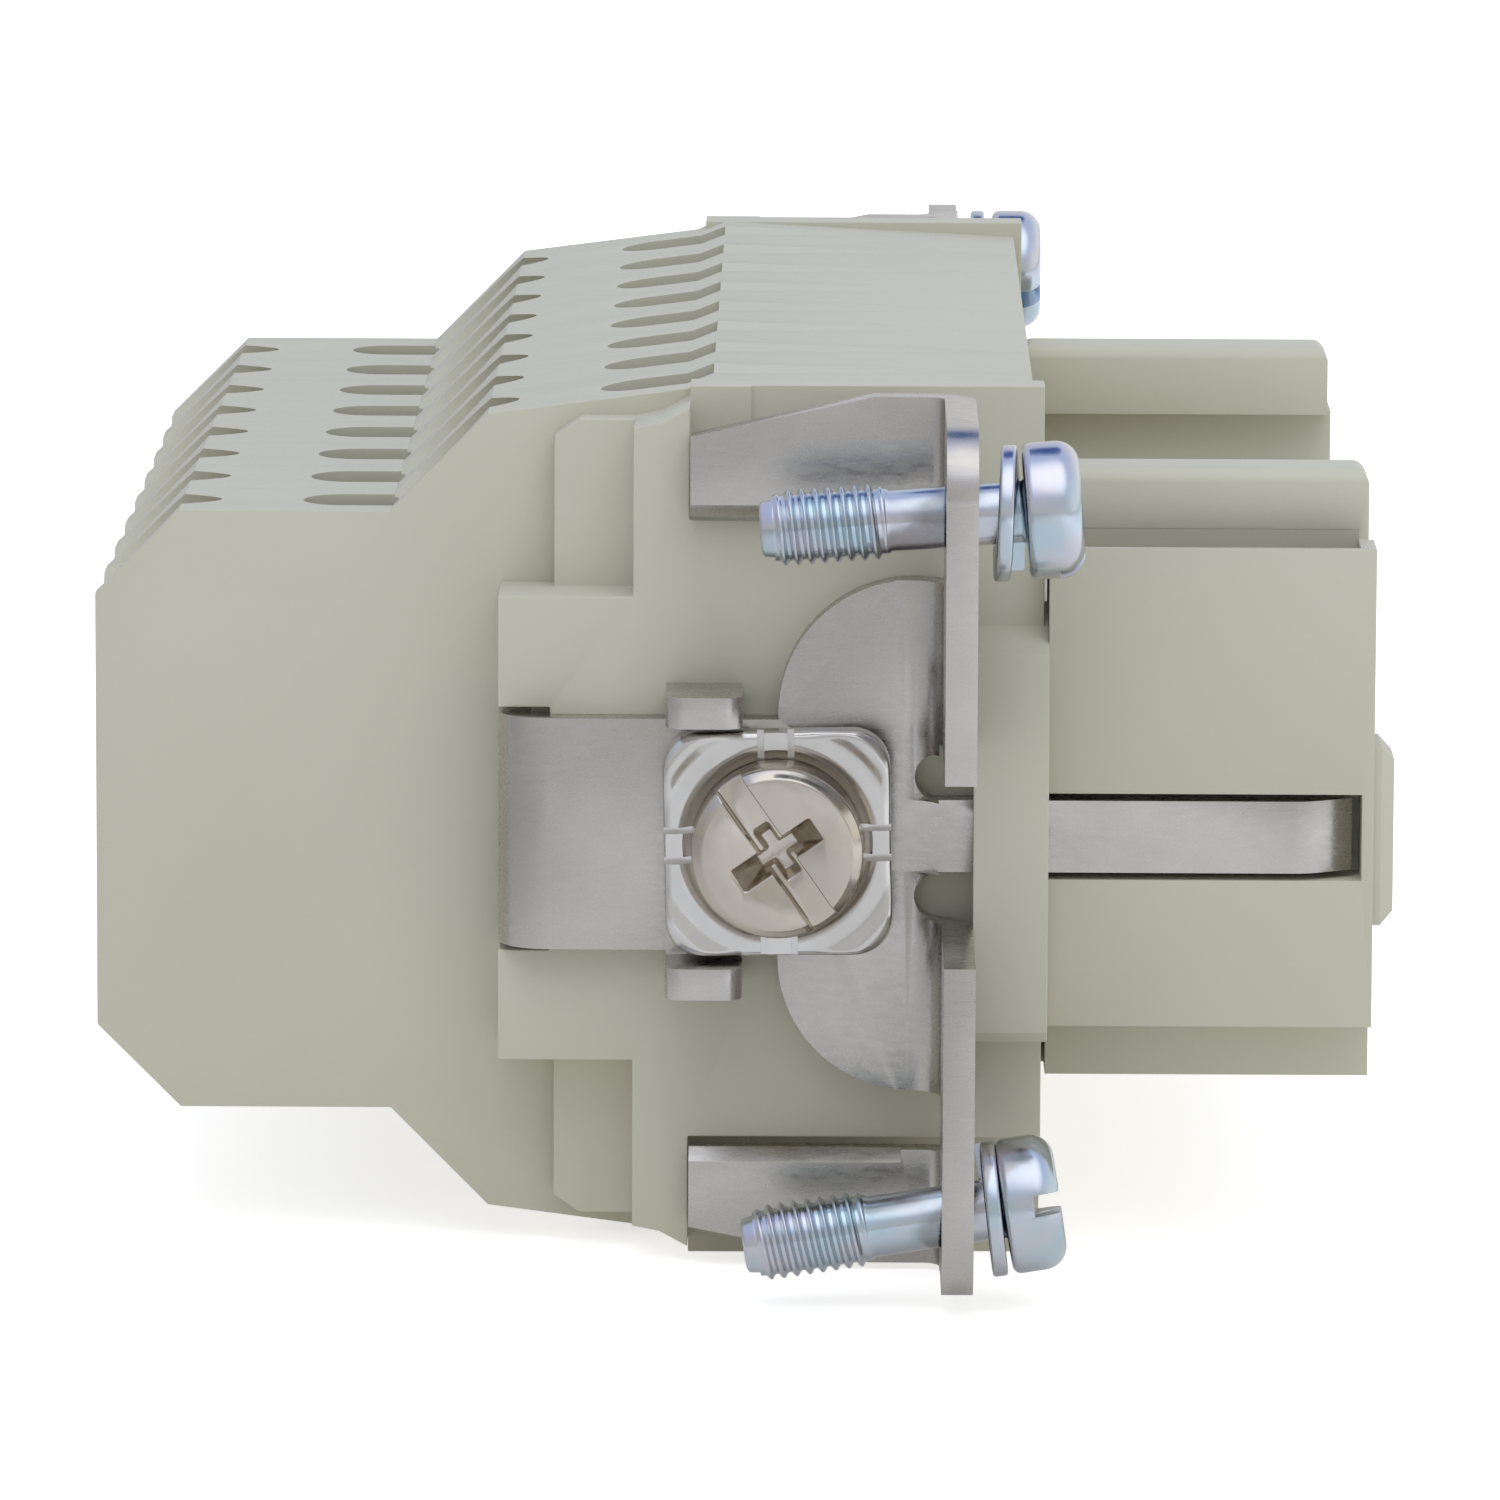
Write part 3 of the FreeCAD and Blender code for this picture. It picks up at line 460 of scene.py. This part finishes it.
def cutGutters(piece):
    (x0, y0, z0), (x1, y1, z1) = mouldings["gutterLow"], mouldings["gutterHigh"]
    cutBoxes(piece, [boxBetween((x0, y0, z0), (x1, y1, z1)), boxBetween((x0, -y1, z0), (x1, -y0, z1))])


def dressMoulding(node):
    piece = mergedCopy(node, node + "_skin")
    if node == "mating_block":
        cutGutters(piece)
        roundRibs(piece)
    radius = next(size for kind, size in mouldings["edgeRadius"].items() if node.startswith(kind))
    roundEdges(piece, radius, mouldings["segments"], mouldings["sharpFrom"])
    finishPiece(piece, plastic, "insert", "moulded_body", node)


for node in ["mating_block", "end_plate_near", "end_plate_far"] + [f"contact_module_{i}" for i in range(1, 9)]:
    dressMoulding(node)
print("mouldings ready")

bracketSheet = {"edgeRadius": 0.18 * mm, "segments": 3, "sharpFrom": 40}
terminalScrew = {"edgeRadius": 0.13 * mm, "segments": 3, "sharpFrom": 30}


def dressMetal(node, body, slot, material, settings):
    piece = mergedCopy(node, node + "_skin")
    roundEdges(piece, settings["edgeRadius"], settings["segments"], settings["sharpFrom"])
    finishPiece(piece, material, body, slot, node)


clampPlate = {
    "centre": (-7.5 * mm, 0.0),
    "thick": 1.3 * mm,
    "half": 4.36 * mm,
    "corner": 1.45 * mm,
    "lean": 1.2,
    "steps": 192,
    "dish": [(2.16, -0.5), (3.3, -0.5), (3.5, -0.42), (3.72, -0.2), (3.86, -0.16), (4.5, -0.16)],  # radius, height
    "rings": [2.16, 3.3, 3.5, 3.61, 3.72, 3.86],  # round rings first, then rings between 3.98 and the edge
    "sharesFrom": 3.98 * mm,
    "shares": [0, 0.1, 0.2, 0.28, 0.34, 0.4, 0.46, 0.52, 0.6, 0.7, 0.8, 0.86, 0.91, 0.95, 0.98, 1.0],
    "ridgeFrom": 4.4 * mm,
    "ridgeTo": 5.1 * mm,
    "cornerFall": 0.34 * mm,
    "edgeWidth": 0.3 * mm,
    "edgeDrop": 0.34 * mm,
    "backBevel": 0.12 * mm,
    "backShrink": 0.975,
    "channel": 0.26 * mm,
    "channelOut": 0.58 * mm,
    "channelFrom": 3.1 * mm,
    "channelDeep": 0.8 * mm,
    "tabDeep": 0.27 * mm,
    "sharpFrom": 34,
}


def squareReach(half, corner, angle):  # distance from the middle to a square's edge with rounded corners
    c, s = abs(math.cos(angle)), abs(math.sin(angle))
    flat = half / max(c, s)
    x, z = flat * c, flat * s
    inner = half - corner
    if min(x, z) <= inner:
        return flat
    along = inner * (c + s)
    return along + math.sqrt(along ** 2 - 2 * inner ** 2 + corner ** 2)


def clampHeight(plate, r, reach):  # how far the front face lies from its highest plane, negative is back
    rings = plate["dish"]
    height = rings[-1][1] * mm
    for (r0, h0), (r1, h1) in zip(rings, rings[1:]):
        if r <= r1 * mm:
            share = max(0.0, (r - r0 * mm) / ((r1 - r0) * mm))
            height = (h0 + (h1 - h0) * share) * mm
            break
    if r > plate["ridgeFrom"]:
        share = min(1.0, (r - plate["ridgeFrom"]) / (plate["ridgeTo"] - plate["ridgeFrom"]))
        height += share * share * (3 - 2 * share) * (-height)
        fall = max(0.0, r - plate["ridgeTo"]) / mm
        height -= plate["cornerFall"] * fall ** 1.5
    edge = (reach - r) / plate["edgeWidth"]
    if edge < 1:
        height -= plate["edgeDrop"] * (1 - math.sqrt(max(0.0, 1 - (1 - edge) ** 2)))
    return height


def clampChannels(plate):  # two narrow channels and a lowered tab in the middle of each side
    boxes = []
    start, stop = plate["channelFrom"], plate["half"] + 0.5 * mm
    middle, long = (start + stop) / 2, stop - start
    for quarter in range(4):
        turn = Matrix.Rotation(math.radians(90 * quarter), 4, "Z")
        for across, wide, deep in ((plate["channelOut"], plate["channel"], plate["channelDeep"]),
                                   (-plate["channelOut"], plate["channel"], plate["channelDeep"]),
                                   (0.0, 2 * plate["channelOut"], plate["tabDeep"])):
            size = Matrix.Diagonal((long, wide, 2 * deep, 1))
            boxes.append(turn @ Matrix.Translation(Vector((middle, across, 0))) @ size)
    return boxes


def makeClamp(end, sign):
    plate = clampPlate
    count = plate["steps"]
    inner = plate["sharesFrom"]
    levels = [(r * mm, None) for r in plate["rings"]] + [(None, share) for share in plate["shares"]]
    points, faces = [], []
    for fixed, share in levels:
        for k in range(count):
            angle = 2 * math.pi * (k + 0.5) / count
            reach = squareReach(plate["half"], plate["corner"], angle)
            r = fixed if fixed is not None else inner + (reach - inner) * share
            points.append((r * math.cos(angle), r * math.sin(angle), clampHeight(plate, r, reach)))
    last = len(levels) - 1
    backRings = ((last, 1.0, plate["backBevel"]), (last, plate["backShrink"], 0.0), (0, 1.0, 0.0))
    for ring, shrink, level in backRings:  # outer wall down to the back, then the back and the hole's wall
        for k in range(count):
            x, z, h = points[ring * count + k]
            points.append((x * shrink, z * shrink, level - plate["thick"]))
    rings = len(levels) + len(backRings)
    for level in range(rings):
        below = (level + 1) % rings
        for k in range(count):
            following = (k + 1) % count
            faces.append((level * count + k, below * count + k,
                          below * count + following, level * count + following))
    piece = closedPiece(f"ground_clamp_{end}_skin", points, faces)
    cutBoxes(piece, clampChannels(plate))
    cx, cz = plate["centre"]
    face = max(abs(vert.co.y) for vert in nodes[f"ground_clamp_{end}"].data.vertices)
    facing = Matrix(((1, 0, 0, cx), (0, 0, sign, sign * face), (0, -sign, 0, cz), (0, 0, 0, 1)))
    piece.data.transform(facing @ Matrix.Rotation(math.radians(plate["lean"]), 4, "Z"))
    shadeByAngle(piece.data, plate["sharpFrom"])
    finishPiece(piece, clampNickel, f"clamp_{end}", "terminal_metal", f"ground_clamp_{end}")


for end, sign in (("near", -1), ("far", 1)):
    dressMetal(f"ground_bracket_{end}", "insert", "bracket_metal", nickel, bracketSheet)
    dressMetal(f"ground_screw_{end}", f"terminal_screw_{end}", "terminal_metal", brightNickel, terminalScrew)
    makeClamp(end, sign)
print("ground terminals ready")

fixing = {
    "shank": 1.16, "core": 1.25, "thread": 1.445, "threadLength": 4.8, "pitch": 0.5, "length": 10.0,
    "tipProfile": [(0.0, 0.88), (0.04, 0.98), (0.12, 1.04), (0.62, 1.12), (0.9, 1.25)],
    "threadFrom": 0.5, "threadSunk": 0.02, "threadFade": 0.4,
    "headRadius": 2.59, "headHeight": 2.15, "headRound": 0.9, "underRound": 0.32, "headFlat": 1.3,
    "slotWide": 0.8, "slotDeep": 1.0, "slotEdge": 0.08,
    "sheet": 1.2, "holeOut": 38.75, "holeUp": 13.5,
    "washerInner": 1.24, "washerOuter": 2.58, "washerThick": 0.6, "washerRound": 0.13, "washerTurns": 0.955,
}
fixingScrews = [  # how each screw and its washer hang, mm and degrees
    {"end": -1, "side": 1, "tilt": 4.2, "drift": 0.05, "head": 1.8, "slot": 65.0,
     "washer": 0.75, "split": 8.0, "rise": 0.6, "lean": -3.4},
    {"end": -1, "side": -1, "tilt": 9.0, "drift": 0.15, "head": 1.2, "slot": -8.0,
     "washer": 0.43, "split": 160.0, "rise": 0.2, "lean": -1.5},
    {"end": 1, "side": 1, "tilt": 0.0, "drift": 0.0, "head": 1.6, "slot": 25.0,
     "washer": 0.6, "split": 80.0, "rise": 0.12, "lean": 0.0},
    {"end": 1, "side": -1, "tilt": 0.0, "drift": 0.0, "head": 1.3, "slot": 110.0,
     "washer": 0.4, "split": 20.0, "rise": 0.12, "lean": 0.0},
]


def lathe(name, profile, steps):  # profile points (along X, radius) in mm, closed at both ends on the axis
    points, faces = [], []
    for along, radius in profile:
        for k in range(steps):
            angle = 2 * math.pi * k / steps
            points.append((along * mm, radius * mm * math.cos(angle), radius * mm * math.sin(angle)))
    for level in range(len(profile) - 1):
        for k in range(steps):
            following = (k + 1) % steps
            faces.append((level * steps + k, level * steps + following,
                          (level + 1) * steps + following, (level + 1) * steps + k))
    faces.append(tuple(range(steps))[::-1])
    faces.append(tuple(range((len(profile) - 1) * steps, len(profile) * steps)))
    return closedPiece(name, points, faces)


def arc(cx, cr, radius, start, stop, count):
    turns = [math.radians(start + (stop - start) * i / count) for i in range(count + 1)]
    return [(cx + radius * math.cos(t), cr + radius * math.sin(t)) for t in turns]


def hangingFrame(rest):  # same placing as the screws of the solid model
    place = Vector((-fixing["sheet"] / 2 * mm, rest["end"] * fixing["holeOut"] * mm,
                    rest["side"] * (fixing["holeUp"] - rest["drift"]) * mm))
    return Matrix.Translation(place) @ Matrix.Rotation(math.radians(-rest["tilt"]), 4, "Y")


def makeFixingScrew(number, rest):
    kit = fixing
    under = kit["sheet"] / 2 + rest["head"]
    top = under + kit["headHeight"]
    tip = under - kit["length"]
    threadEnd = tip + kit["threadLength"]
    lip, low = kit["headRound"], kit["underRound"]
    profile = [(tip + along, radius) for along, radius in kit["tipProfile"]]
    profile += [(threadEnd, kit["core"]), (threadEnd + 0.12, kit["shank"]), (under - 0.2, kit["shank"])]
    profile += [(under - 0.06, kit["shank"] + 0.03), (under, kit["shank"] + 0.1)]
    profile += arc(under + low, kit["headRadius"] - low, low, 180, 90, 5)
    profile += arc(top - lip, kit["headRadius"] - lip, lip, 90, 8, 10)
    profile += [(top, kit["headRadius"] - kit["headFlat"]), (top, 0.3)]
    piece = lathe(f"fixing_screw_{number}_skin", profile, 72)
    size = Matrix.Diagonal((2 * kit["slotDeep"] * mm, 4 * kit["headRadius"] * mm, kit["slotWide"] * mm, 1))
    cutBoxes(piece, [Matrix.Rotation(math.radians(rest["slot"]), 4, "X")
                     @ Matrix.Translation(Vector((top * mm, 0, 0))) @ size])
    roundEdges(piece, kit["slotEdge"] * mm, 2, 50)
    piece.data.transform(hangingFrame(rest))
    finishPiece(piece, zinc, f"screw_{number}", "zinc_steel", f"fixing_screw_{number}")
    core = kit["core"] - kit["threadSunk"]
    thread = grow(threadMaker, f"fixing_screw_{number}_thread", start=(tip + kit["threadFrom"]) * mm,
                  length=(kit["threadLength"] - kit["threadFrom"]) * mm, pitch=kit["pitch"] * mm,
                  core=core * mm, ridge=(kit["thread"] - core) * mm, fade=kit["threadFade"] * mm)
    thread.data.transform(hangingFrame(rest))
    finishPiece(thread, zinc, f"screw_{number}", "zinc_steel")


def makeWasher(number, rest):
    kit = fixing
    wide = kit["washerOuter"] - kit["washerInner"]
    piece = grow(washerMaker, f"spring_washer_{number}_skin", radius=(kit["washerInner"] + wide / 2) * mm,
                 rise=rest["rise"] * mm, turns=kit["washerTurns"], wide=wide * mm, thick=kit["washerThick"] * mm,
                 rounding=kit["washerRound"] * mm)
    start = kit["sheet"] / 2 + rest["washer"] + kit["washerThick"] / 2 - 0.3 * rest["rise"]
    laid = Matrix.Translation(Vector((start * mm, 0, 0))) @ Matrix.Rotation(math.radians(-rest["lean"]), 4, "Y")
    laid = laid @ Matrix.Rotation(math.radians(rest["split"]), 4, "X")
    piece.data.transform(hangingFrame(rest) @ laid)
    shadeByAngle(piece.data, 40)
    finishPiece(piece, zinc, f"washer_{number}", "zinc_steel", f"spring_washer_{number}")


for number, rest in enumerate(fixingScrews, start=1):
    makeFixingScrew(number, rest)
    makeWasher(number, rest)
for kind, count, material in (("contact", 16, silver), ("clamp_springs", 8, springSteel)):
    for number in range(1, count + 1):
        skins = nodes[f"{kind}_{number}"].data.materials
        skins.clear()
        skins.append(material)
print("screws, contacts and springs ready")

studio = {
    "floorDrop": 0.02 * mm,
    "floorSize": 6.0,
    "target": (-8.788 * mm, 0.0, -1.85 * mm),
    "distance": 467.031 * mm,
    "azimuth": 0.373,
    "elevation": 9.282,
    "roll": 0.226,
    "lens": 271.864,
    "zenith": (0.62, 0.71, 0.98, 1.0),
    "left": (0.5, 0.5, 0.49, 1.0),
    "right": (1.05, 1.04, 1.0, 1.0),
    "front": (0.66, 0.655, 0.63, 1.0),
    "glare": (1.5, 1.55, 1.64, 1.0),
    "glareAt": (0.08, -0.4, 0.91),
    "patch": (0.05, 0.12, 0.35, 1.0),
    "patchAt": (0.0, 0.59, 0.81),
    "line": (0.42, 0.46, 0.54, 1.0),
    "floorColour": (0.77, 0.755, 0.7, 1.0),
    "floorGlow": (0.2, 0.68),
    "floorLeft": (0.3, 0.295, 0.28, 1.0),
    "floorRight": (0.95, 0.93, 0.88, 1.0),
    "softboxAt": (0.05, -0.27, 0.55),
    "softboxSize": 0.5,
    "softboxPower": 0.85,
    "softboxColour": (0.92, 0.96, 1.0),
}


def addFloor():
    half = studio["floorSize"] / 2
    level = cadBox[0][2] - studio["floorDrop"]
    mesh = bpy.data.meshes.new("floor")
    mesh.from_pydata([(-half, -half, level), (half, -half, level), (half, half, level), (-half, half, level)],
                     [], [(0, 1, 2, 3)])
    floor = addObject("floor", mesh)
    mesh.materials.append(floorMaterial())


def floorMaterial():  # looks whiter to the camera than to the metal
    material, tree, shader = newMaterial("paleFloor")
    shader.inputs["Roughness"].default_value = 0.9
    shader.inputs["Specular IOR Level"].default_value = 0.2
    shader.inputs["Emission Color"].default_value = (1.0, 1.0, 1.0, 1.0)
    ray = tree.nodes.new("ShaderNodeLightPath")
    glow = addRange(tree, 0.0, 1.0, *studio["floorGlow"])
    tree.links.new(ray.outputs["Is Camera Ray"], glow.inputs["Value"])
    tree.links.new(glow.outputs["Result"], shader.inputs["Emission Strength"])
    place = tree.nodes.new("ShaderNodeTexCoord")
    split = tree.nodes.new("ShaderNodeSeparateXYZ")
    share = addRange(tree, -0.11, 0.11)
    sides = addColourMix(tree)
    sides.inputs[6].default_value = studio["floorLeft"]
    sides.inputs[7].default_value = studio["floorRight"]
    mirrored = addColourMix(tree)  # only mirror-like surfaces see the dark left and the bright right
    mirrored.inputs[6].default_value = studio["floorColour"]
    tree.links.new(place.outputs["Object"], split.inputs[0])
    tree.links.new(split.outputs["X"], share.inputs["Value"])
    tree.links.new(share.outputs["Result"], sides.inputs[0])
    tree.links.new(ray.outputs["Is Glossy Ray"], mirrored.inputs[0])
    tree.links.new(sides.outputs[2], mirrored.inputs[7])
    tree.links.new(mirrored.outputs[2], shader.inputs["Base Color"])
    return material


def addSoftbox():  # lights the part from above and in front, unseen in the metal
    light = bpy.data.lights.new("topSoftbox", "AREA")
    light.size = studio["softboxSize"]
    light.energy = studio["softboxPower"]
    light.color = studio["softboxColour"]
    lamp = bpy.data.objects.new("topSoftbox", light)
    bpy.context.scene.collection.objects.link(lamp)
    lamp.location = studio["softboxAt"]
    lamp.rotation_mode = "QUATERNION"
    lamp.rotation_quaternion = (-Vector(studio["softboxAt"])).to_track_quat("-Z", "Y")
    lamp.visible_glossy = False


def addWorld():  # cool ceiling, dark left, bright right, plain white behind the part
    world = bpy.data.worlds.new("studio")
    world.use_nodes = True
    tree = world.node_tree
    link = tree.links.new
    background = tree.nodes["Background"]
    place = tree.nodes.new("ShaderNodeTexCoord").outputs["Generated"]
    split = tree.nodes.new("ShaderNodeSeparateXYZ")
    link(place, split.inputs[0])

    def blend(source, low, high, under, over):  # one colour over another where a value lies between two limits
        share = addRange(tree, low, high)
        share.interpolation_type = "SMOOTHSTEP"
        mix = addColourMix(tree)
        link(source, share.inputs["Value"])
        link(share.outputs["Result"], mix.inputs[0])
        for colour, socket in ((under, mix.inputs[6]), (over, mix.inputs[7])):
            if isinstance(colour, bpy.types.NodeSocket):
                link(colour, socket)
            else:
                socket.default_value = colour
        return mix.outputs[2]

    def towards(direction):  # 1 straight towards a direction, less all around it
        spot = tree.nodes.new("ShaderNodeVectorMath")
        spot.operation = "DOT_PRODUCT"
        link(place, spot.inputs[0])
        spot.inputs[1].default_value = direction
        return spot.outputs["Value"]

    level = addMath(tree, "ABSOLUTE")
    link(split.outputs["Z"], level.inputs[0])
    around = blend(split.outputs["X"], -0.7, 0.7, studio["left"], studio["right"])
    around = blend(split.outputs["Y"], -0.1, -0.95, around, studio["front"])
    around = blend(level.outputs[0], 0.045, 0.015, around, studio["line"])
    sky = blend(split.outputs["Z"], 0.05, 0.95, around, studio["zenith"])
    sky = blend(towards(studio["glareAt"]), 0.76, 0.99, sky, studio["glare"])
    sky = blend(towards(studio["patchAt"]), 0.975, 0.985, sky, studio["patch"])
    ray = tree.nodes.new("ShaderNodeLightPath")
    seen = blend(ray.outputs["Is Camera Ray"], 0.0, 1.0, sky, (1.0, 1.0, 1.0, 1.0))
    link(seen, background.inputs["Color"])
    bpy.context.scene.world = world


def addCamera():
    a = math.radians(studio["azimuth"])
    e = math.radians(studio["elevation"])
    r = math.radians(studio["roll"])
    back = Vector((math.sin(a) * math.cos(e), -math.cos(a) * math.cos(e), math.sin(e)))
    forward = -back
    right = forward.cross(Vector((0, 0, 1))).normalized()
    up = right.cross(forward)
    turnedRight = right * math.cos(r) + up * math.sin(r)
    turnedUp = up * math.cos(r) - right * math.sin(r)
    data = bpy.data.cameras.new("camera")
    data.lens = studio["lens"]
    data.sensor_width = 36
    data.clip_start, data.clip_end = 0.01, 50
    camera = bpy.data.objects.new("camera", data)
    bpy.context.scene.collection.objects.link(camera)
    place = Vector(studio["target"]) + back * studio["distance"]
    turn = Matrix((turnedRight, turnedUp, back)).transposed().to_4x4()
    camera.matrix_world = Matrix.Translation(place) @ turn
    bpy.context.scene.camera = camera


addFloor()
addWorld()
addSoftbox()
addCamera()
bpy.context.scene.view_settings.view_transform = "Standard"
print("studio ready")
